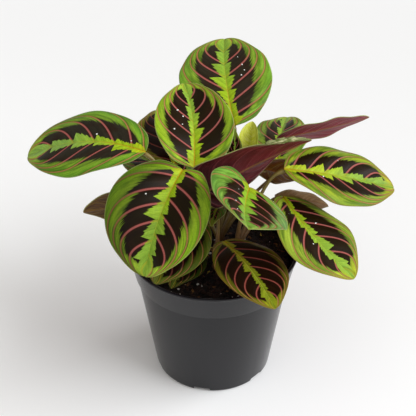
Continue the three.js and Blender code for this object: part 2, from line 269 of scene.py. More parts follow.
def grid_faces(rows, columns, first=0, closed=False, flip=False):
    """Quads of a grid of points, numbered row by row; closed joins each row's end to its start."""
    faces = []
    span = columns if closed else columns - 1
    for j in range(rows - 1):
        for k in range(span):
            a = first + j * columns + k
            b = first + j * columns + (k + 1) % columns
            quad = (a, b, b + columns, a + columns)
            faces.append(quad[::-1] if flip else quad)
    return faces


def capped_faces(rows, sides, first=0):
    """The faces of a closed tube made of rings of points, with a flat cap at each end."""
    faces = grid_faces(rows, sides, first, closed=True)
    last = first + (rows - 1) * sides
    faces.append(tuple(range(first + sides - 1, first - 1, -1)))
    faces.append(tuple(range(last, last + sides)))
    return faces


def lumps_piece(name, mesh, material):
    """A piece from a bmesh in millimetres, one that stands for no node."""
    bmesh.ops.scale(mesh, vec=(MM, MM, MM), verts=mesh.verts)
    data = bpy.data.meshes.new(name)
    mesh.to_mesh(data)
    mesh.free()
    declare(name, data, [material], None)


def lathe_rows(profile, sides):
    """Points of a profile of radii and heights turned round the Z axis, a row for each corner."""
    angles = np.arange(sides) * 2 * math.pi / sides
    rows = []
    for radius, height in profile:
        level = np.full(sides, height)
        rows.append(np.stack([radius * np.cos(angles), radius * np.sin(angles), level], 1))
    return np.concatenate(rows)


# ---- leaves: places and shapes
BLADE_FULLNESS = 0.56
BLADE_END_WIDTH = 1.2
TIP_POINT = 3
TIP_START = 0.88
BASE_LOBE = 4
RIB_STEPS = 40
CAD_HALF_THICKNESS = 0.35

BLADE_ROWS = 97
BLADE_COLUMNS = 65
FULL_WIDTH = 60
HALF_THICKNESS = 0.28
RIM_HALF_THICKNESS = 0.16
QUILT = 0.6
QUILT_ROUNDNESS = 0.7
RIB_GROOVE = 0.35
GROOVE_WIDTH = 0.9
RIB_KEEL = 0.5
KEEL_WIDTH = 0.8
RIPPLE = 0.35

VEINS = 6
VEIN_ROSE = "#b06058"
RIM_PALE = "#b9b87a"
VEIN_CROWDING = 0.8
VEIN_SWEEP = (0.26, 0.2, 3.2)
RIM_SWEEP = (0.2, 10)
SWEEP_AT_BASE = 0.3
SWEEP_LOST_AT_TIP = 0.38
SWEEP_ROUNDS = 8


SHAPE_WORDS = "heading rise droop swing roll twist lift arch wave waves phase".split()


def leaf(name, shoot, base, length, width, widest, angles, blade, wave, paint, young=False,
         point=TIP_POINT):
    """One leaf's row, in millimetres and degrees.

    widest: where along the blade it is widest, 1 for the middle and less for nearer the base.
    angles: heading, rise, droop, swing, roll, twist. blade: lift at the rib, arch of each half.
    wave: the rim's height, number and phase of waves. point: how far the tip is drawn out.
    """
    row = dict(zip(SHAPE_WORDS, (*angles, *blade, *wave)))
    row.update(name=name, shoot=shoot, base=base, length=length, width=width, widest=widest,
               look=paint, young=young, point=point)
    return row


# How a leaf's top is painted.
# green, edge, light, shadow: the margin, its outer part, its pale streaks and its deep ones; the
# streaks are partly the margin's own tone and partly painted highlight and painted shade.
# dark, dusk: the patches between the veins and the dim green where they fade out.
# lime, plume: the feather along the rib, near the base and further on. tip: the leaf's tip, the
# same as light where it isn't said. vein, rim: the veins over the patches, and the very edge.
# stagger: how far the left veins start ahead of the right ones, in vein gaps.
# reach: share of the half-width that the dark patches fill.
# band: half-width of the feather, narrow and wide, as a share of the blade's half-width.
# shade: how bright the left and right margins are kept, as painted light and painted shade on each
# side. veins: the number of side veins.
PLAIN_LOOK = {
    "green": "#6f9a1c", "edge": "#46701a", "light": "#a9c43a", "shadow": "#3f6414",
    "dark": "#1a1102", "dusk": "#1c300a", "lime": "#94b012", "plume": "#7da036",
    "vein": VEIN_ROSE, "rim": RIM_PALE, "stagger": 0.5, "reach": 0.68, "band": (0.06, 0.2),
    "shade": (1, 1), "veins": VEINS,
}


def look(**changes):
    paint = {**PLAIN_LOOK, **changes}
    paint.setdefault("tip", paint["light"])
    return paint


LEAVES = [
    leaf("far_left", "left", (-45, 0, 178), 92, 61, 1.05, (154, 6, 40, 12, -15, -5), (11, 29),
         (0.8, 2.2, 0.1), look(
             green="#6c9c26", edge="#48761a", dark="#28241a", dusk="#2a3c12", plume="#7ba048",
             stagger=0.05, reach=0.58, band=(0.07, 0.26))),
    leaf("centre", "left", (-13, 4, 163), 71, 56, 0.82, (88, 34, 24, 16, 9, -10), (20, 14),
         (0.7, 2, 0.4), look(
             green="#97b41a", edge="#78991a", reach=0.7, band=(0.08, 0.23),
             shade=(1.15, 0.85))),
    leaf("top", "back", (15, 54, 166), 84, 68, 0.95, (105, 36, 33, -19, 0, -8), (14, 24),
         (1, 3, 0.2), look(
             green="#80a932", edge="#5a8724", dark="#282216", stagger=0.05, reach=0.6,
             band=(0.08, 0.26), veins=7)),
    # front_left's right margin is darkened with painted shade from the leaves beside it.
    leaf("front_left", "front_left", (-20, -9, 170), 76, 72, 1, (-114, -8, 62, -2, -6, 1), (28, 24),
         (0.6, 2, 0.6), look(
             green="#9cc31a", edge="#6f9a18", stagger=0.35, band=(0.08, 0.26),
             shade=(1.05, 0.36), veins=6.5)),
    leaf("inner_right", "right", (24, -10, 157), 85, 61, 0.75, (-100, 9, -16, 16, -38, 12), (20, 20),
         (0.8, 2, 0.3), look(
             green="#78a83c", edge="#528430", light="#9cc050", lime="#84ac1e", plume="#719e3a",
             stagger=0.3, reach=0.64, band=(0.08, 0.22)), point=0.4),
    leaf("far_right", "right", (48, 12, 157), 82, 56, 1.05, (8, -10, 15, 6, 13, 3), (18, 38),
         (0.8, 2.4, 0.8), look(
             green="#96a520", edge="#6f8a20", lime="#a6b81c", tip="#b9ac10", rim="#a8704c",
             stagger=0.35, reach=0.62, band=(0.08, 0.24))),
    leaf("low_right", "right", (48, 10, 136), 77, 56, 1.25, (-69, -8, 20, 32, -14, 14), (18, 30),
         (0.8, 2, 0.5), look(
             green="#98ac36", edge="#7f942c", tip="#b3b41a", rim="#a8704c", stagger=0.45, reach=0.62,
             band=(0.08, 0.22))),
    leaf("over_rim", "front", (7, -10, 112), 76, 46, 1.04, (-60, 7, 13, -11, -4, 7), (9, 10),
         (0.5, 2, 0), look(
             green="#6e6a12", edge="#62560e", light="#8f8f28", dark="#1a0e05", dusk="#2a1c08",
             lime="#84861a", plume="#7a8a1c", tip="#98981a", vein="#9c5044", rim="#8e5a2c",
             reach=0.8, veins=6.5)),
    leaf("turned_long", "front_left", (-8, -8, 149), 80, 56, 0.5, (18, 28, 15, 0, -80, 36), (16, 24),
         (1, 2, 0.2), look(stagger=0.4)),
    leaf("turned_right", "back", (43, 27, 172), 70, 27, 0.95, (22, -2, -3, 4, -62, 6), (10, 22),
         (0.8, 2.5, 0.7), look(stagger=0.2)),
    leaf("rear_right", "back", (46, 54, 134), 70, 45, 0.95, (86, 8, 20, -10, -6, 0), (16, 30),
         (1.5, 3, 0.4), look(
             green="#87a43a", edge="#6a8c2e", dark="#2a2414", reach=0.46)),
    leaf("rolled", "back", (25, 42, 134), 38, 30, 1.1, (74, 78, 0, 0, 0, 0), (30, -60),
         (0, 1, 0), look(stagger=0), young=True, point=0.9),
    leaf("turned_small", "back", (15, 28, 142), 32, 12, 0.9, (-80, 96, 0, 0, 0, 0), (10, 20),
         (0.4, 2, 0), look()),
    leaf("turned_low", "back", (31, 32, 145), 33, 38, 0.9, (-4, -10, 0, 0, -60, 0), (10, 20),
         (0.6, 2, 0.3), look()),
    leaf("behind_low_right", "right", (44, 22, 124), 36, 28, 0.95, (6, 2, 24, 0, 0, 0), (12, 30),
         (0.6, 2, 0.1), look()),
    leaf("behind_left", "left", (-26, 24, 152), 60, 46, 0.9, (104, 22, 26, 0, 0, 0), (14, 30),
         (1.2, 3, 0.5), look(
             green="#7f7a14", edge="#8b8a1c", light="#99942a", dark="#1e1008", dusk="#2c1c08",
             vein="#7c3e30", stagger=0.4)),
    leaf("turned_left", "left", (-30, 14, 126), 58, 42, 0.9, (186, 6, 16, 0, 70, 0), (12, 30),
         (0.6, 2, 0.2), look()),
    # under_front_left and over_soil: greens, veins and rims darkened with painted shade, for the shade
    # they lie in under the front leaves.
    leaf("under_front_left", "front_left", (-13, -15, 136), 54, 44, 0.9, (-112, 0, 44, -14, -14, 0),
         (14, 30), (0.6, 2, 0.6), look(
             green="#4f5212", edge="#66701c", light="#6d7826", dark="#150d06", lime="#565c12",
             plume="#5a6420", vein="#743c30", rim="#6c6c28", shade=(0.8, 0.6))),
    leaf("over_soil", "front_left", (-11, -14, 108), 36, 28, 0.9, (-116, 0, 18, 0, 0, 0), (14, 30),
         (0.4, 2, 0.1), look(
             green="#3a4410", edge="#465014", light="#4c5820", lime="#3f460e", plume="#465018",
             vein="#5c3026", rim="#484c1a", shade=(0.6, 0.5))),
    leaf("smallest", "front", (3, -10, 139), 22, 14, 0.9, (-100, 40, 60, 0, 0, 0), (14, 30),
         (0, 1, 0), look(green="#5f9a3c", edge="#3f7526", reach=0.4)),
    leaf("back_left", "left", (-20, 26, 134), 62, 44, 0.95, (134, 14, 30, 0, 0, 0), (14, 30),
         (1, 2.5, 0.2), look(stagger=0.3)),
    leaf("back", "back", (-4, 30, 110), 72, 52, 0.95, (84, 8, 30, 0, 0, 0), (14, 30),
         (1, 2.5, 0.7), look(green="#84a62c", stagger=0.4)),
]


def unit(vectors):
    return vectors / np.linalg.norm(vectors, axis=-1, keepdims=True)


def rib_directions(row, t):
    """The way that the rib points at share t of its length."""
    slope = np.radians(row["rise"] - row["droop"] * t)
    heading = np.radians(row["heading"] + row["swing"] * t)
    flat = np.cos(slope)
    return np.stack([flat * np.cos(heading), flat * np.sin(heading), np.sin(slope)], -1)


def rib_frames(row, t):
    """Points of the rib at shares t of its length, with the blade's forward, right and up there."""
    t = np.asarray(t, float)
    bend = np.clip(t, 0, 1)
    halfway = (np.arange(RIB_STEPS) + 0.5) / RIB_STEPS
    steps = rib_directions(row, bend[..., None] * halfway)
    point = np.array(row["base"], float) + steps.sum(-2) * (row["length"] * bend / RIB_STEPS)[..., None]
    forward = rib_directions(row, bend)
    point = point + forward * (row["length"] * (t - bend))[..., None]
    level = unit(np.stack([forward[..., 1], -forward[..., 0], np.zeros_like(t)], -1))
    roll = np.radians(row["roll"] + row["twist"] * bend)[..., None]
    right = level * np.cos(roll) + np.cross(forward, level) * np.sin(roll)
    return point, forward, right, np.cross(right, forward)


def blade_shape(row, u):
    """The blade's width at u as a share of its full width."""
    return np.maximum(np.sin(math.pi * u ** row["widest"]), 0) ** BLADE_FULLNESS


def blade_half_width(row, u):
    return np.maximum(row["width"] / 2 * blade_shape(row, u), BLADE_END_WIDTH)


def blade_points(row, u, v):
    """Points of the blade's middle surface: u runs from base to tip, v from -1 (left) to 1."""
    out = np.abs(v)
    point = row["point"] * np.maximum(0, (u - TIP_START) / (1 - TIP_START)) ** 2
    lobe = (0 if row["young"] else BASE_LOBE) * out ** 2 * (1 - u) ** 6 * np.minimum(1, u * 12)
    place, _, right, up = rib_frames(row, u + (point - lobe) / row["length"])
    reach = blade_half_width(row, u) * out
    lift = math.radians(row["lift"])
    curl = math.radians(row["arch"]) / (row["width"] / 2)
    across = (math.sin(lift) - np.sin(lift - curl * reach)) / curl
    above = (np.cos(lift - curl * reach) - math.cos(lift)) / curl
    turn = row["waves"] * u + row["phase"] + np.where(v < 0, 0.5, 0)
    wave = row["wave"] * np.sin(2 * math.pi * turn) * out ** 3 * blade_shape(row, u)
    return place + right * (np.sign(v) * across)[..., None] + up * (above + wave)[..., None]


# ---- leaves: veins
def soft_step(low, high, x):
    share = np.clip((x - low) / (high - low), 0, 1)
    return share * share * (3 - 2 * share)


def vein_number(veins, start):
    """The number, with its fraction, of the side vein that leaves the rib at this share of it."""
    inside = np.maximum(start, 0) ** VEIN_CROWDING
    return veins * np.where(start > 0, inside, 1.6 * start)


def vein_start(u, out):
    """Where on the rib the side vein that passes through a point begins."""
    first, bend, power = VEIN_SWEEP
    rim_bend, rim_power = RIM_SWEEP
    sweep = first * out + bend * out ** power + rim_bend * out ** rim_power
    start = u - sweep
    for _ in range(SWEEP_ROUNDS):
        near_base = SWEEP_AT_BASE + (1 - SWEEP_AT_BASE) * soft_step(0, 0.3, start)
        near_tip = 1 - SWEEP_LOST_AT_TIP * soft_step(0.5, 0.95, start) * out
        start = 0.5 * start + 0.5 * (u - sweep * near_base * near_tip)
    return start


def across_gradient(points, values):
    """How fast values change over the grid's surface, per millimetre, away from its own edges."""
    along = np.gradient(points, axis=0)
    across = np.gradient(points, axis=1)
    change = np.stack([np.gradient(values, axis=0), np.gradient(values, axis=1)], -1)
    aa = (along * along).sum(-1)
    ab = (along * across).sum(-1)
    bb = (across * across).sum(-1)
    area = np.maximum(aa * bb - ab * ab, 1e-9)
    squared = (bb * change[..., 0] ** 2 - 2 * ab * change[..., 0] * change[..., 1]
               + aa * change[..., 1] ** 2) / area
    return np.sqrt(np.maximum(squared, 1e-9))


def surface_normals(points):
    along = np.gradient(points, axis=0)
    across = np.gradient(points, axis=1)
    return unit(np.cross(across, along))


def leaf_fields(row, u, v, points):
    """What the leaf materials read at each point: vein numbers, and distances in millimetres."""
    out = np.abs(v)
    veins = row["look"]["veins"]
    number = vein_number(veins, vein_start(u, out))
    rib_number = vein_number(veins, u + 0.03 * out)
    right = BLADE_COLUMNS // 2
    fall = across_gradient(points[:, right:], number[:, right:])
    fall[:, 0] = fall[:, 1]
    gap = 1 / np.maximum(np.concatenate([fall[:, :0:-1], fall], 1), 0.02)
    half = blade_half_width(row, u)
    return number, rib_number, gap, half * out, half * (1 - out)


def blade_relief(row, u, v, number, from_rib, to_rim):
    """Height of the quilting between the veins, the groove along the rib and a faint ripple."""
    size = row["width"] / FULL_WIDTH
    side_number = number + np.where(v < 0, row["look"]["stagger"], 0)
    inside = soft_step(0, 6, from_rib) * soft_step(0, 5, to_rim)
    puff = np.abs(np.sin(math.pi * side_number)) ** QUILT_ROUNDNESS
    relief = QUILT * size * (puff - 0.5) * inside * (number > -0.5)
    relief -= RIB_GROOVE * size * np.exp(-(from_rib / GROOVE_WIDTH) ** 2) * (1 - 0.6 * u)
    ripple = [noise.noise(Vector((a * 6, b * 2, row["length"]))) for a, b in zip(u.ravel(), v.ravel())]
    return relief + RIPPLE * size * np.array(ripple).reshape(u.shape) * np.abs(v) ** 2


def rim_order():
    """The numbers of the points on the blade's edge, once round it."""
    numbers = np.arange(BLADE_ROWS * BLADE_COLUMNS).reshape(BLADE_ROWS, BLADE_COLUMNS)
    edges = [numbers[0, :-1], numbers[:-1, -1], numbers[-1, :0:-1], numbers[:0:-1, 0]]
    return np.concatenate(edges).tolist()


def build_leaf(row, top, under):
    """A blade with two faces, quilted between the veins, grooved along the rib and keeled below."""
    u_line = (1 - np.cos(math.pi * np.arange(BLADE_ROWS) / (BLADE_ROWS - 1))) / 2
    v_line = np.linspace(-1, 1, BLADE_COLUMNS)
    u, v = np.meshgrid(u_line, v_line, indexing="ij")
    points = blade_points(row, u, v)
    normals = surface_normals(points)
    number, rib_number, gap, from_rib, to_rim = leaf_fields(row, u, v, points)
    relief = blade_relief(row, u, v, number, from_rib, to_rim)
    keel = RIB_KEEL * row["width"] / FULL_WIDTH * np.exp(-(from_rib / KEEL_WIDTH) ** 2) * (1 - 0.75 * u)
    thick = RIM_HALF_THICKNESS + (HALF_THICKNESS - RIM_HALF_THICKNESS) * soft_step(0, 3, to_rim)
    upper = points + normals * (relief + thick)[..., None]
    lower = points + normals * (relief - thick - keel)[..., None]
    vertices = np.concatenate([upper.reshape(-1, 3), lower.reshape(-1, 3)])
    vertices = np.clip(vertices, np.array(cad_box[0]) / MM, np.array(cad_box[1]) / MM)
    count = BLADE_ROWS * BLADE_COLUMNS
    faces = grid_faces(BLADE_ROWS, BLADE_COLUMNS)
    top_faces = len(faces)
    faces += grid_faces(BLADE_ROWS, BLADE_COLUMNS, first=count, flip=True)
    border = rim_order()
    for a, b in zip(border, border[1:] + border[:1]):
        faces.append((a, a + count, b + count, b))
    name = "leaf_" + row["name"]
    piece = new_piece(name + "_blade", vertices, faces, [top, under], name)
    marks = np.zeros(len(faces), np.int32)
    marks[top_faces:2 * top_faces] = 1
    piece.data.polygons.foreach_set("material_index", marks)
    held = {"leaf_place": (number, rib_number, v), "leaf_size": (from_rib, gap, to_rim),
            "leaf_share": (u, np.abs(v), u)}
    for attribute_name, fields in held.items():
        values = np.stack(fields, -1).reshape(-1, 3)
        set_attribute(piece, attribute_name, np.concatenate([values, values]))


# ---- leaves: materials
VEIN_HALF_WIDTH = 0.58
RIB_HALF_WIDTH = 0.4
VEIN_ORANGE = "#ac7448"
VEIN_LIME = "#b8a824"
CURL_GREEN = "#8c9464"


def leaf_coordinates(tree, stagger):
    """The numbers that build_leaf stored: see leaf_fields, then u, v without and with its sign."""
    number, rib_number, v = attribute(tree, "leaf_place")
    from_rib, gap, to_rim = attribute(tree, "leaf_size")
    u, out, _ = attribute(tree, "leaf_share")
    left = v.math("LESS_THAN", 0) * stagger
    return number + left, rib_number + left, from_rib, gap, to_rim, u, out, v


def vein_distance(number, gap):
    """Millimetres from the nearest side vein."""
    return ((number + 0.5).math("FRACT") - 0.5).math("ABSOLUTE") * gap


def leaf_top(name, row, seed):
    """Lime feather down the middle, near-black patches between rose veins, and a green margin."""
    paint = row["look"]
    material, tree, shader = new_material(name, 0.36, 0.1)
    number, rib_number, from_rib, gap, to_rim, u, out, v = leaf_coordinates(tree, paint["stagger"])
    side = v.math("SIGN")
    streak = streaks(number * 5, out * 1.5, seed, detail=3)
    fringe = streaks(number * 17, out * 2, seed + 5)
    hair = streaks(number * 46, out * 5, seed + 7)
    blotch = streaks(u * 5, v * 3, seed + 9)
    mottle = grain(object_place(tree), 900, 3)

    tooth = rib_number.math("FRACT")
    own = chance(rib_number.math("FLOOR"), side, seed)
    narrow, wide = paint["band"]
    flare = u.smooth(0.2, 0) * 0.26 + u.smooth(0.78, 0.97) * 0.25
    band = tooth * (own * 1.1 + 0.35) * (wide - narrow) + narrow + flare
    small_tooth = (rib_number * 4).math("FRACT")
    band = band + (small_tooth - 0.5) * 0.03 + (fringe - 0.5) * 0.07 + (hair - 0.5) * 0.06
    past_band = out.smooth(band - 0.012, band + 0.012)

    within = number.math("FRACT")
    patch = chance(number.math("FLOOR"), side, seed + 1)
    reach = (patch - 0.5) * 0.18 + (within - 0.5) * 0.1 + paint["reach"]
    reach = reach + (fringe - 0.5) * 0.24 + (hair - 0.5) * 0.14
    reach = reach * number.smooth(-0.15, 1.1) * u.smooth(1, 0.86)
    inside_reach = out.smooth(reach + 0.03, reach - 0.03)
    dark = past_band * inside_reach * number.smooth(-0.1, 0.1)
    dusk = past_band * out.smooth(reach + 0.28, reach - 0.05) * number.smooth(-0.15, 0.4)
    dusk = dusk * (streak * 2 - 0.45).math("MAXIMUM", 0).math("MINIMUM", 1)

    distance = vein_distance(number, gap)
    full_width = VEIN_HALF_WIDTH * (row["width"] / FULL_WIDTH) ** 0.8
    width = ((out.smooth(1.08, 0.5) * 0.4 + 0.6) * full_width).math("MINIMUM", gap * 0.17)
    shown = number.smooth(-0.5, -0.2) * to_rim.smooth(0.1, 0.9)
    vein = distance.smooth(width * 1.5, width * 0.45) * shown
    halo = distance.smooth(width * 2.8, width) * shown
    rib_width = u.smooth(1, 0) * RIB_HALF_WIDTH + 0.15
    rib = from_rib.smooth(rib_width * 1.4, rib_width * 0.4)

    depth = streaks(number * 2.3, out * 4, seed + 13)
    green = coat(
        paint["green"],
        (out.smooth(0.62, 1) * (blotch * 0.9 + 0.45), paint["edge"]),
        (out.smooth(reach + 0.32, reach + 0.03) * 0.45, paint["light"]),
        # Pale hair streaks: partly the margin's own tone and partly painted highlight.
        (hair.smooth(0.5, 0.72) * 0.55, paint["light"]),
        (streak.smooth(0.5, 0.3) * 0.7, paint["edge"]),
        # Deep streaks: partly the margin's own tone and partly painted shade.
        (depth.smooth(0.46, 0.64) * 0.62, paint["shadow"]))
    lime = coat(
        paint["lime"],
        (u.smooth(0.2, 0.75), paint["plume"]),
        # Pale hair streaks on the feather: partly its own tone and partly painted highlight.
        (hair.smooth(0.5, 0.72) * 0.5, paint["light"]),
        (hair.smooth(0.48, 0.3) * 0.45, paint["edge"]),
        (u.smooth(0.12, 0) * 0.5, "#b9b410"))
    ground = coat(
        lime,
        (past_band * u.smooth(1, 0.9), green),
        (u.smooth(0.84, 1) * out.smooth(0.1, 0.5) * 0.75, paint["tip"]),
        (dusk, paint["dusk"]),
        (dark, mix(blotch.smooth(0.45, 0.7) * 0.6, paint["dark"], "#241206")),
        (halo * dark * 0.6, "#34100a"),
        (halo * (past_band - dark) * 0.55, paint["shadow"]))
    # Darker beside the veins: partly the margin's own tone and partly painted shade where the blade
    # dips to them.
    painted_vein_shade = distance.smooth(0, 2.4) * 0.2 + 0.82
    # Painted light and painted shade on each margin, as the shade pair gives it; it dims the veins
    # there too.
    left_painted_shade, right_painted_shade = paint["shade"]
    shade = v.smooth(0.1, 0.9) * (right_painted_shade - 1) + v.smooth(-0.1, -0.9) * (left_painted_shade - 1) + 1
    ground = scale_colour(ground, painted_vein_shade * shade * (streak * 1.1 + mottle * 0.5 + 0.25))
    vein_colour = coat(VEIN_LIME, (past_band, mix(inside_reach, VEIN_ORANGE, paint["vein"])))
    ground = coat(
        ground,
        (vein * (past_band * 0.5 + 0.35), scale_colour(vein_colour, (mottle * 0.5 + 0.75) * shade)),
        (rib * 0.7, mix(u.smooth(0.05, 0.6), "#b8861a", "#a9b43c")),
        (to_rim.smooth(0.8, 0.1) * 0.4, paint["rim"]))

    plug((fringe - 0.5) * 0.16 + (mottle - 0.5) * 0.1 + 0.34, shader.inputs["Roughness"])
    height = streak * 0.4 + fringe * 0.15 + hair * 0.12 + mottle * 0.1 - vein * 0.5 - rib * 0.4
    return dress(material, ground, height, 0.3)


def leaf_under(name, stagger, seed, under):
    """The underside: fine lines along the veins, folds between them, and a paler rim."""
    material, tree, _ = new_material(name, 0.46, 0.22)
    number, _, from_rib, gap, to_rim, u, out, v = leaf_coordinates(tree, stagger)
    lines = streaks(number * 16, out * 2, seed)
    folds = streaks(number * 4, out * 1.2, seed + 1)
    cloud = streaks(u * 4, v * 3, seed + 3)
    mottle = grain(object_place(tree), 900, 3)
    vein = vein_distance(number, gap).smooth(0.9, 0.2) * number.smooth(-0.3, -0.1)
    curl_side, curl_width = under["curl"]
    curl = (v * curl_side).smooth(0.2, 0.6) * u.smooth(0.45, 0.75)
    curl = curl * to_rim.smooth(curl_width, curl_width * 0.5)
    ground = coat(
        under["base"],
        (lines.smooth(0.4, 0.75) * 0.6, under["light"]),
        (cloud.smooth(0.45, 0.75) * 0.5, under["deep"]),
        (u.smooth(under["deep_until"], 0) * 0.8, under["deep"]),
        (vein * 0.35, under["light"]),
        (from_rib.smooth(1.3, 0.5) * 0.5, under["rib"]))
    ground = scale_colour(ground, folds * 0.7 + mottle * 0.4 + 0.45)
    ground = coat(ground, (to_rim.smooth(1.1, 0.3) * 0.55, RIM_PALE), (curl, CURL_GREEN))
    return dress(material, ground, lines * 0.4 + folds * 0.8 + vein * 0.5 + mottle * 0.15, 0.35)


# How an underside is painted. base, light, deep: its burgundy, the paler lines and the deeper
# clouds. rib: the colour along the rib. deep_until: up to which share of the length from the base
# it is deeper. curl: on which side (-1 left, 1 right) and how wide, in millimetres, its rim pales.
PLAIN_UNDERSIDE = {
    "base": "#6a1c33", "light": "#8c3a4f", "deep": "#3c0d1d", "rib": "#8f6a3a", "deep_until": 0.15,
    "curl": (1, 0.01),
}


def underside(**changes):
    return {**PLAIN_UNDERSIDE, **changes}


PLAIN_TOPS = ("behind_low_right",)
UNDERSIDES = {
    # turned_long: its deep colour over most of its length from the base is painted shade, for the shade
    # of the leaves over it.
    "turned_long": underside(base="#641a20", light="#8a3c42", deep="#20070a", deep_until=0.72,
                             curl=(1, 3.2)),
    "turned_right": underside(base="#74202e", light="#a0505c", deep="#54141f"),
    "turned_low": underside(base="#6a3212", light="#96781c", deep="#2a0e06", rib="#8a4a1a"),
    "turned_left": underside(base="#4a2a12", light="#7c6422", deep="#241008", rib="#7a5a20"),
    # behind_low_right: pale tan, partly the leaf's own brown and partly painted light that lifts it out
    # of the shade it lies in.
    "behind_low_right": underside(base="#a88a54", light="#ccae80", deep="#8a6a44", rib="#a88650"),
}


def young_leaf(name):
    """The lime skin of the leaf that is still rolled: raised with painted light, with painted shade
    over its right half, and darker towards the base.
    """
    material, tree, _ = new_material(name, 0.4)
    number, _, _, _, _, u, out, v = leaf_coordinates(tree, 0.5)
    lines = streaks(number * 9, out * 2, 3)
    ground = coat(
        "#dbe23a",
        (lines.smooth(0.35, 0.7), "#f2f489"),
        # Painted shade over the right half.
        (v.smooth(0.3, 0.95) * 0.7, "#9aa416"),
        (u.smooth(0.3, 0) * 0.6, "#8b9420"))
    return dress(material, ground, lines, 0.15)


def build_leaves():
    for i, row in enumerate(LEAVES):
        name = "leaf_" + row["name"]
        seed = 3.1 * i + 1
        if row["young"]:
            top = under = young_leaf(name + "_skin")
        else:
            painted = UNDERSIDES.get(row["name"], underside())
            top = under = leaf_under(name + "_under", row["look"]["stagger"], seed, painted)
            if row["name"] not in PLAIN_TOPS:
                top = leaf_top(name + "_top", row, seed)
        build_leaf(row, top, under)


# ---- stalks
SHOOTS = {"left": (-14, 6), "front_left": (-9, -9), "front": (3, -13), "right": (14, -3),
          "back": (4, 12)}
CROWN_RADIUS = 4
CROWN_TOP = 97
CROWN_FOOT = 78
CROWN_SIDES = 24
CROWN_PROFILE = [(3.6, CROWN_FOOT), (CROWN_RADIUS, CROWN_FOOT + 1), (CROWN_RADIUS, 92.5),
                 (3.7, 93.6), (3.1, 95), (2, 96.4), (0.6, CROWN_TOP)]
STALK_SPREAD = 1.4
STALK_FOOT_RADIUS = 2.1
STALK_RADIUS = 1.3
PULVINUS_RADIUS = 1.7
PULVINUS_LENGTH = 8
STALK_TIP_RADIUS = 0.8
STALK_TIP_DEPTH = 1
STALK_TIP_REACH = 6
STALK_BOW = 0.08
STALK_SLIMMING = 0.94
FIT_GAP = 0.3
TUBE_SIDES = 18
TUBE_STEPS = 72


def centripetal_curve(points, count):
    """Evenly spaced points of the centripetal Catmull-Rom curve through the given ones."""
    points = np.asarray(points, float)
    ends = [2 * points[0] - points[1], *points, 2 * points[-1] - points[-2]]
    dense = []
    for i in range(1, len(ends) - 2):
        p0, p1, p2, p3 = ends[i - 1:i + 3]
        steps = [max(np.linalg.norm(b - a) ** 0.5, 1e-4) for a, b in ((p0, p1), (p1, p2), (p2, p3))]
        t0, t1, t2 = steps
        start = ((p1 - p0) / t0 - (p2 - p0) / (t0 + t1) + (p2 - p1) / t1) * t1
        end = ((p2 - p1) / t1 - (p3 - p1) / (t1 + t2) + (p3 - p2) / t2) * t1
        s = np.linspace(0, 1, 60, endpoint=False)[:, None]
        cubic = (2 * p1 - 2 * p2 + start + end) * s ** 3
        dense.append(cubic + (-3 * p1 + 3 * p2 - 2 * start - end) * s ** 2 + start * s + p1)
    dense.append(points[-1:])
    line = np.concatenate(dense)
    length = np.concatenate([[0], np.cumsum(np.linalg.norm(np.diff(line, axis=0), axis=1))])
    even = np.linspace(0, length[-1], count)
    return np.stack([np.interp(even, length, line[:, k]) for k in range(3)], 1), length[-1]


def stalk_line(row):
    """The stalk's centre line, from its foot in the crown to its slim tip under the blade's rib."""
    shoot = np.array(SHOOTS[row["shoot"]], float)
    below = CAD_HALF_THICKNESS + FIT_GAP
    points, forwards, _, ups = rib_frames(row, np.array([0, STALK_TIP_REACH / row["length"]]))
    tip = points[1] - ups[1] * (below + STALK_TIP_DEPTH)
    joint = points[0] - ups[0] * (below + PULVINUS_RADIUS)
    outward = np.array([joint[0] - shoot[0], joint[1] - shoot[1], 0])
    outward *= min(1, STALK_SPREAD / max(np.linalg.norm(outward), 1e-6))
    foot = np.array([*shoot, CROWN_FOOT + 8]) + outward * 0.5
    neck = np.array([*shoot, CROWN_TOP - 1]) + outward
    span = joint - neck
    arrive = unit(unit(span) + forwards[0])
    pulvinus = joint - arrive * PULVINUS_LENGTH
    middle = (neck + pulvinus) / 2 + np.array([0, 0, STALK_BOW * np.linalg.norm(span)])
    return centripetal_curve([foot, neck, middle, pulvinus, joint, tip], TUBE_STEPS + 1)


def stalk_radii(length):
    """The stalk's radius along its length, and how far it has swollen to the joint."""
    share = np.linspace(0, 1, TUBE_STEPS + 1)
    joint_start = 1 - (PULVINUS_LENGTH + STALK_TIP_REACH) / length
    joint_end = 1 - STALK_TIP_REACH / length
    sheath = STALK_FOOT_RADIUS + (STALK_RADIUS - STALK_FOOT_RADIUS) * np.minimum(1, share * 1.6)
    swell = soft_step(joint_start, joint_end, share)
    radius = sheath + (PULVINUS_RADIUS - sheath) * swell
    fade = np.sqrt(np.clip((share - joint_end) / (1 - joint_end), 0, 1))
    tip = PULVINUS_RADIUS + (STALK_TIP_RADIUS - PULVINUS_RADIUS) * fade
    return np.where(share > joint_end, tip, radius) * STALK_SLIMMING, swell


def tube(line, radii):
    """Rings round a line, kept from twisting by carrying one side direction along it."""
    tangents = unit(np.gradient(line, axis=0))
    side = unit(np.cross(tangents[0], [0.3, 0.9, 0.2]))
    rings = []
    angles = np.arange(TUBE_SIDES) * 2 * math.pi / TUBE_SIDES
    for centre, tangent, radius in zip(line, tangents, radii):
        side = unit(side - tangent * side.dot(tangent))
        other = np.cross(tangent, side)
        spokes = np.cos(angles)[:, None] * side + np.sin(angles)[:, None] * other
        rings.append(centre + spokes * radius)
    return np.concatenate(rings)


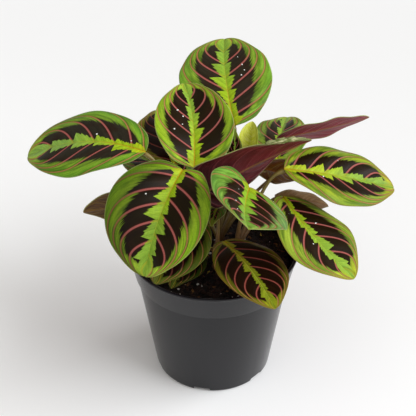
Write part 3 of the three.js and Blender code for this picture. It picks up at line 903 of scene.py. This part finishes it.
def build_shoot(name, skin):
    """One shoot: its crown and every stalk that grows from it."""
    x, y = SHOOTS[name]
    vertices = []
    faces = []
    places = []

    def add_rings(rings, rows, sides, shares, kinds):
        first = sum(len(part) for part in vertices)
        vertices.append(rings)
        faces.extend(capped_faces(rows, sides, first))
        rounds = np.tile(np.arange(sides) / sides, rows)
        places.append(np.stack([np.repeat(shares, sides), rounds, np.repeat(kinds, sides)], 1))

    crown = lathe_rows(CROWN_PROFILE, CROWN_SIDES) + np.array([x, y, 0])
    plain = np.zeros(len(CROWN_PROFILE))
    add_rings(crown, len(plain), CROWN_SIDES, plain, plain)
    for row in LEAVES:
        if row["shoot"] == name:
            line, length = stalk_line(row)
            radii, swell = stalk_radii(length)
            shares = np.linspace(0, 1, TUBE_STEPS + 1)
            add_rings(tube(line, radii), TUBE_STEPS + 1, TUBE_SIDES, shares, swell)
    piece = new_piece("shoot_" + name + "_stalks", np.concatenate(vertices), faces, [skin],
                      "shoot_" + name)
    set_attribute(piece, "stalk_place", np.concatenate(places))


def stalk_skin():
    """Brown sheath at the foot, olive and pinkish further up, paler at the swollen joint."""
    material, tree, _ = new_material("stalk_skin", 0.42)
    along, _, joint = attribute(tree, "stalk_place")
    place = object_place(tree)
    broad = grain(place, 22, 2)
    fine = grain(place, 900, 3)
    ground = coat(
        "#4a2a18",
        (along.smooth(0, 0.45), "#6a5a20"),
        (broad.smooth(0.45, 0.6) * 0.7, "#7c5a3c"),
        (joint * 0.6, "#8d7a3a"))
    return dress(material, scale_colour(ground, fine * 0.5 + 0.75), fine, 0.12)


# ---- rolled rim of one leaf
HEM_LEAF = "turned_long"
HEM_SPAN = (0.64, 0.97)
HEM_RINGS = 60
HEM_RADIUS = 1.6
HEM_END_RADIUS = 0.15
HEM_RISE = 0.6
HEM_CREASE = 0.3


def hem_skin():
    """The pale, streaked margin that shows where a rim has rolled over."""
    material, tree, _ = new_material("leaf_hem_skin", 0.45, 0.2)
    along, turn, _ = attribute(tree, "hem_place")
    lines = streaks(along * 5, turn * 14, 2)
    fine = streaks(along * 20, turn * 30, 6)
    ground = coat("#5c6a2c", (lines.smooth(0.42, 0.64), "#b4b284"),
                  (fine.smooth(0.56, 0.7) * 0.7, "#8a5440"))
    return dress(material, ground, lines + fine * 0.5, 0.3)


def build_hem():
    """A narrow crumpled roll along the upper rim of the leaf whose tip curls over."""
    row = next(row for row in LEAVES if row["name"] == HEM_LEAF)
    shares = np.linspace(0, 1, HEM_RINGS)
    start, end = HEM_SPAN
    line = blade_points(row, start + (end - start) * shares, np.ones(HEM_RINGS))
    swell = np.sin(math.pi * shares ** 0.7) ** 0.6
    lumps = 1 + 0.14 * np.sin(shares * 21) + 0.08 * np.sin(shares * 47)
    radii = HEM_END_RADIUS + HEM_RADIUS * swell * lumps
    line = line + np.stack([0 * shares, 0 * shares, radii * HEM_RISE], 1)
    rings = tube(line, radii).reshape(HEM_RINGS, TUBE_SIDES, 3)
    for ring, centre, share in zip(rings, line, shares):
        for k in range(TUBE_SIDES):
            broad = noise.noise(Vector((share * 9, k * 0.9, 3)))
            fine = noise.noise(Vector((share * 30, k * 2.1, 8)))
            ring[k] = centre + (ring[k] - centre) * (1 + HEM_CREASE * (broad + fine))
    piece = new_piece("leaf_" + HEM_LEAF + "_hem", rings.reshape(-1, 3),
                      capped_faces(HEM_RINGS, TUBE_SIDES), [hem_skin()], "leaf_" + HEM_LEAF)
    turns = np.tile(np.arange(TUBE_SIDES) / TUBE_SIDES, HEM_RINGS)
    set_attribute(piece, "hem_place", np.stack([np.repeat(shares, TUBE_SIDES), turns, turns], 1))


# ---- pot
POT_HEIGHT = 101
POT_RIM_RADIUS = 60
POT_BASE_RADIUS = 42
POT_WALL = 1.6
POT_BODY_TOP_RADIUS = 54
COLLAR_BOTTOM = 80.5
COLLAR_BOTTOM_RADIUS = 55.4
POT_SIDES = 180
NOTCHES = 6
NOTCH_WIDTH = 12
NOTCH_HEIGHT = 3.2
NOTCH_REACH = 7
NOTCH_ROUNDING = 1.2
FIRST_NOTCH_ANGLE = -101
POT_LIP = 2.2
POT_ROUNDING = 0.4
POT_SHARP_ANGLE = 40


def rounded(profile, radius, steps=5):
    """The profile with each inner corner replaced by a short curve."""
    points = [Vector(p) for p in profile]
    result = [profile[0]]
    for before, corner, after in zip(points, points[1:], points[2:]):
        cut = min(radius, (corner - before).length * 0.45, (after - corner).length * 0.45)
        start = corner + (before - corner).normalized() * cut
        end = corner + (after - corner).normalized() * cut
        for i in range(steps + 1):
            t = i / steps
            result.append(tuple(start * (1 - t) ** 2 + corner * 2 * t * (1 - t) + end * t ** 2))
    result.append(profile[-1])
    return result


def pot_profile():
    """Radii and heights of the pot's section, from the foot up the outside and down the inside."""
    return [
        (0.01, 0), (POT_BASE_RADIUS - 1, 0), (POT_BASE_RADIUS, 1.2),
        (POT_BODY_TOP_RADIUS - 0.1, COLLAR_BOTTOM - 0.8), (POT_BODY_TOP_RADIUS - 0.35, COLLAR_BOTTOM),
        (COLLAR_BOTTOM_RADIUS, COLLAR_BOTTOM + 0.5),
        (POT_RIM_RADIUS - 0.8, POT_HEIGHT - POT_LIP), (POT_RIM_RADIUS, POT_HEIGHT - POT_LIP + 0.6),
        (POT_RIM_RADIUS - 0.1, POT_HEIGHT - 0.3), (POT_RIM_RADIUS - 1, POT_HEIGHT),
        (POT_RIM_RADIUS - POT_LIP, POT_HEIGHT - 0.3),
        (COLLAR_BOTTOM_RADIUS - POT_WALL, COLLAR_BOTTOM + 1.4),
        (POT_BODY_TOP_RADIUS - POT_WALL, COLLAR_BOTTOM - 1),
        (POT_BASE_RADIUS - POT_WALL, 2), (0.01, 2),
    ]


def notch_cutter():
    """Six blocks, rounded along their tops, that cut the drain notches out of the pot's foot."""
    cutter = bmesh.new()
    for i in range(NOTCHES):
        made = bmesh.ops.create_cube(cutter, size=1)
        turn = Matrix.Rotation(math.radians(FIRST_NOTCH_ANGLE + i * 360 / NOTCHES), 4, "Z")
        size = Matrix.Diagonal((2 * NOTCH_REACH * MM, NOTCH_WIDTH * MM, 2 * NOTCH_HEIGHT * MM, 1))
        move = Matrix.Translation((POT_BASE_RADIUS * MM, 0, 0))
        bmesh.ops.transform(cutter, matrix=turn @ move @ size, verts=made["verts"])
    ridges = []
    for edge in cutter.edges:
        start, end = (vert.co for vert in edge.verts)
        level = abs(start.z - end.z) < 1e-6 and start.z > 0
        if level and abs((end - start).normalized().dot(start.normalized())) > 0.9:
            ridges.append(edge)
    bmesh.ops.bevel(cutter, geom=ridges, offset=NOTCH_ROUNDING * MM, segments=4, affect="EDGES",
                    profile=0.5)
    mesh = bpy.data.meshes.new("notch_cutter")
    cutter.to_mesh(mesh)
    cutter.free()
    return bpy.data.objects.new("notch_cutter", mesh)


def build_pot():
    """The moulded pot: a turned wall with the notches cut out of its foot."""
    profile = rounded(pot_profile(), POT_ROUNDING)
    faces = capped_faces(len(profile), POT_SIDES)
    rings = lathe_rows(profile, POT_SIDES)
    pot = new_piece("pot_moulded", rings, faces, [pot_plastic()], "pot")
    cutter = notch_cutter()
    place_in_scene(cutter)
    cut = pot.modifiers.new("notches", "BOOLEAN")
    cut.operation = "DIFFERENCE"
    cut.solver = "EXACT"
    cut.object = cutter
    bpy.context.view_layer.update()
    shaped = bpy.data.meshes.new_from_object(pot.evaluated_get(bpy.context.evaluated_depsgraph_get()))
    pot.modifiers.clear()
    pot.data = shaped
    bpy.data.objects.remove(cutter)
    shaped.shade_smooth()
    shaped.set_sharp_from_angle(angle=math.radians(POT_SHARP_ANGLE))


def pot_plastic():
    """Charcoal moulded plastic with a fine grain and faint scuffs."""
    material, tree, shader = new_material("pot_plastic", 0.45, 0.34)
    shader.inputs["Sheen Weight"].default_value = 0.05
    shader.inputs["Sheen Roughness"].default_value = 0.35
    place = object_place(tree)
    fine = grain(place, 1800, 2)
    cloud = grain(place, 18, 3)
    scuff = grain(place, 160, 4, 0.7)
    ground = coat("#0a0a0e", (cloud.smooth(0.35, 0.7), "#100f14"),
                  (scuff.smooth(0.64, 0.78) * 0.25, "#2c2c2f"))
    plug((cloud - 0.5) * 0.1 + (fine - 0.5) * 0.1 + 0.24, shader.inputs["Roughness"])
    return dress(material, ground, fine * 0.6 + scuff * 0.4, 0.06)


# ---- soil
SOIL_TOP = 90
SOIL_DOME = 2
SOIL_LUMP = 0.9
SOIL_SIDES = 160
SOIL_RINGS = 60
SOIL_TOP_RADIUS = 51.1
SOIL_EDGE_RADIUS = 53.4
SOIL_SKIRT = [(0.01, 2.3), (38.4, 2.3), (39.9, 5.2), (51.2, 78.5), (52.2, 87)]
SCATTER_INNER = 2
SCATTER_OUTER = 52
SHOOT_CLEARANCE = 4.5
LUMP_UNEVENNESS = 0.45
LUMP_SINK = 0.35


def soil_height(x, y):
    """Height of the soil's surface: the low dome and lumps of the solid, with finer crumbs on it."""
    radius = math.hypot(x, y)
    share = min(radius / SOIL_TOP_RADIUS, 1)
    lump = math.sin(x * 0.29 + 1) * math.cos(y * 0.29) + 0.6 * math.sin((x - y) * 0.53)
    inside = float(soft_step(1, 8, SOIL_TOP_RADIUS - radius))
    fine = noise.fractal(Vector((x * 0.22, y * 0.22, 4)), 0.7, 2, 5)
    return SOIL_TOP + SOIL_DOME * (1 - share * share) + SOIL_LUMP * lump * inside + 0.9 * fine


def build_soil():
    """The soil's lumpy top, with a plain skirt down to the pot's floor."""
    rows = [lathe_rows([corner], SOIL_SIDES) for corner in SOIL_SKIRT]
    angles = np.arange(SOIL_SIDES) * 2 * math.pi / SOIL_SIDES
    for i in range(SOIL_RINGS + 1):
        radius = SOIL_EDGE_RADIUS * (1 - i / SOIL_RINGS) + 0.01
        ring = []
        for angle in angles:
            x = radius * math.cos(angle)
            y = radius * math.sin(angle)
            ring.append((x, y, soil_height(x, y)))
        rows.append(np.array(ring))
    faces = grid_faces(len(rows), SOIL_SIDES, closed=True)
    new_piece("soil_bed", np.concatenate(rows), faces, [soil_skin()], "soil")


def soil_skin():
    """Wet peat: near-black brown with a coarse broken surface."""
    material, tree, _ = new_material("soil_skin", 0.85, 0.3)
    place = object_place(tree)
    coarse = grain(place, 260, 5, 0.65)
    cloud = grain(place, 60, 3)
    ground = coat("#0e0906", (coarse.smooth(0.4, 0.7), "#2c1c12"),
                  (cloud.smooth(0.55, 0.8) * 0.5, "#3a2615"))
    return dress(material, ground, coarse, 1.2)


def crumb_material(name, first, second, roughness):
    """A speckled skin of two colours for crumbs, chips and grains."""
    material, tree, _ = new_material(name, roughness, 0.3)
    place = object_place(tree)
    speckle = grain(place, 900, 3)
    patch = grain(place, 90, 2)
    ground = scale_colour(mix(patch.smooth(0.4, 0.6), first, second), speckle * 0.7 + 0.65)
    return dress(material, ground, speckle, 0.25)


def scatter(name, count, sizes, stretch, material, seed):
    """Irregular lumps strewn on the soil, clear of the shoots, joined in one mesh."""
    draw = random.Random(seed)
    mesh = bmesh.new()
    placed = 0
    while placed < count:
        angle = draw.uniform(0, 2 * math.pi)
        radius = math.sqrt(draw.uniform(SCATTER_INNER ** 2, SCATTER_OUTER ** 2))
        x = radius * math.cos(angle)
        y = radius * math.sin(angle)
        if min(math.hypot(x - sx, y - sy) for sx, sy in SHOOTS.values()) < SHOOT_CLEARANCE:
            continue
        placed += 1
        size = draw.uniform(*sizes)
        made = bmesh.ops.create_icosphere(mesh, subdivisions=2, radius=1)
        shift = Vector((draw.uniform(0, 99), draw.uniform(0, 99), draw.uniform(0, 99)))
        for vert in made["verts"]:
            vert.co *= 1 + LUMP_UNEVENNESS * noise.noise(vert.co * 1.3 + shift)
        length = size * draw.uniform(1, stretch)
        shape = Matrix.Diagonal((length, size, size * draw.uniform(0.4, 0.8), 1))
        turn = Matrix.Rotation(draw.uniform(0, 2 * math.pi), 4, "Z")
        tilt = Matrix.Rotation(draw.uniform(-0.5, 0.5), 4, "X")
        height = soil_height(x, y) + size * (0.5 - LUMP_SINK)
        place = Matrix.Translation((x, y, height))
        bmesh.ops.transform(mesh, matrix=place @ turn @ tilt @ shape, verts=made["verts"])
    lumps_piece(name, mesh, material)


# What lies on the soil: the material's name, two colours and roughness, then how many there are,
# their smallest and largest size, and how far they may be drawn out.
BITS = {
    "soil_crumbs": ("peat_crumb", "#150d08", "#2b1a10", 0.9, 900, (0.5, 1.5), 1.6),
    "bark_chips": ("bark_chip", "#3f2614", "#6b4a22", 0.8, 90, (0.7, 1.3), 3),
    "perlite_grains": ("perlite_grain", "#d9d6cd", "#b9b3a4", 0.75, 70, (0.45, 0.95), 1.3),
    "straw_bits": ("straw_bit", "#a8933a", "#7c6a26", 0.7, 16, (0.5, 0.8), 4.5),
}


def build_crumbs():
    for i, (name, (skin, first, second, roughness, *shape)) in enumerate(BITS.items()):
        scatter(name, *shape, crumb_material(skin, first, second, roughness), SEED + i)


# ---- specks on the leaves
# Each speck's place on its leaf, as in blade_points, and its radius in millimetres.
SPECKS = {
    "centre": [(0.62, -0.42, 0.8), (0.55, -0.27, 0.6), (0.45, -0.3, 0.45), (0.38, -0.52, 0.7)],
    "top": [(0.6, 0.4, 0.6), (0.53, 0.42, 0.6), (0.48, 0.34, 0.6), (0.7, 0.35, 0.5)],
    "far_left": [(0.42, 0.2, 0.7), (0.14, 0.25, 0.5)],
    "front_left": [(0.38, 0.4, 0.6), (0.42, -0.5, 0.35)],
    "inner_right": [(0.25, 0.3, 0.55), (0.5, 0.3, 0.5), (0.66, 0.28, 0.5)],
    "far_right": [(0.33, 0.2, 0.65), (0.5, -0.45, 0.35)],
    "low_right": [(0.42, -0.3, 0.6), (0.6, 0.25, 0.6), (0.25, 0.35, 0.4)],
}


def build_specks():
    """Small near-white grains that lie on the big leaves."""
    rows = {row["name"]: row for row in LEAVES}
    mesh = bmesh.new()
    for name, spots in SPECKS.items():
        row = rows[name]
        for u, v, radius in spots:
            step = 0.01
            around = blade_points(row, np.array([[u, u], [u + step, u + step]]),
                                  np.array([[v, v + step], [v, v + step]]))
            normal = unit(np.cross(around[0, 1] - around[0, 0], around[1, 0] - around[0, 0]))
            made = bmesh.ops.create_icosphere(mesh, subdivisions=3, radius=radius)
            turn = Vector(normal).to_track_quat("Z", "Y").to_matrix().to_4x4()
            flat = Matrix.Diagonal((1, 0.85, 0.55, 1))
            place = Matrix.Translation(Vector(around[0, 0] + normal * (HALF_THICKNESS + 0.2 * radius)))
            bmesh.ops.transform(mesh, matrix=place @ turn @ flat, verts=made["verts"])
    lumps_piece("leaf_specks", mesh, crumb_material("speck_grain", "#f2f2ee", "#dcdcd6", 0.35))


# ---- studio
WARM_SKY = (1, 0.94, 0.87, 1)
SKY_STRENGTH = 0.42
COOL_LIGHT = (0.95, 0.98, 1.01)
FLOOR_HALF = 4
# Each light's azimuth, height and spread in degrees, with azimuth 0 to the right, and its strength.
LIGHTS = {"key": (-20, 41, 44, 2.06), "fill": (-100, 45, 90, 0.78), "rim": (18, 26, 30, 0.98)}


def far_light(name, azimuth, height, spread, strength):
    """A large, soft, far light."""
    data = bpy.data.lights.new(name, "SUN")
    data.angle = math.radians(spread)
    data.energy = strength
    data.color = COOL_LIGHT
    light = bpy.data.objects.new(name, data)
    light.rotation_euler = (math.radians(90 - height), 0, math.radians(azimuth + 90))
    place_in_scene(light)


def build_studio():
    """A pale floor, darker towards the back with painted shade, under a faint even sky, with soft far
    lights from the right and the front.
    """
    floor = bpy.data.meshes.new("studio_floor")
    corners = [(-1, -1), (1, -1), (1, 1), (-1, 1)]
    floor.from_pydata([(x * FLOOR_HALF, y * FLOOR_HALF, 0) for x, y in corners], [], [(0, 1, 2, 3)])
    material, tree, shader = new_material("floor_paper", 0.9, 0.1)
    soft = grain(object_place(tree), 2, 2)
    # Painted shade: the floor grows darker towards the back, standing for the light's falloff over it.
    back = split(object_place(tree))[1].smooth(-0.25, 0.6)
    ground = mix(back, mix(soft, "#f8f8f8", "#fafafa"), "#eaeaea")
    plug(ground, shader.inputs["Base Color"])
    floor.materials.append(material)
    piece = bpy.data.objects.new("studio_floor", floor)
    place_in_scene(piece)

    world = bpy.data.worlds.new("studio_sky")
    world.use_nodes = True
    world.node_tree.nodes["Background"].inputs["Color"].default_value = WARM_SKY
    world.node_tree.nodes["Background"].inputs["Strength"].default_value = SKY_STRENGTH
    bpy.context.scene.world = world
    for name, place in LIGHTS.items():
        far_light(name, *place)
    bpy.context.scene.view_settings.view_transform = "Standard"


build_leaves()
build_hem()
shared_skin = stalk_skin()
for shoot_name in SHOOTS:
    build_shoot(shoot_name, shared_skin)
build_pot()
build_soil()
build_crumbs()
build_specks()
build_studio()
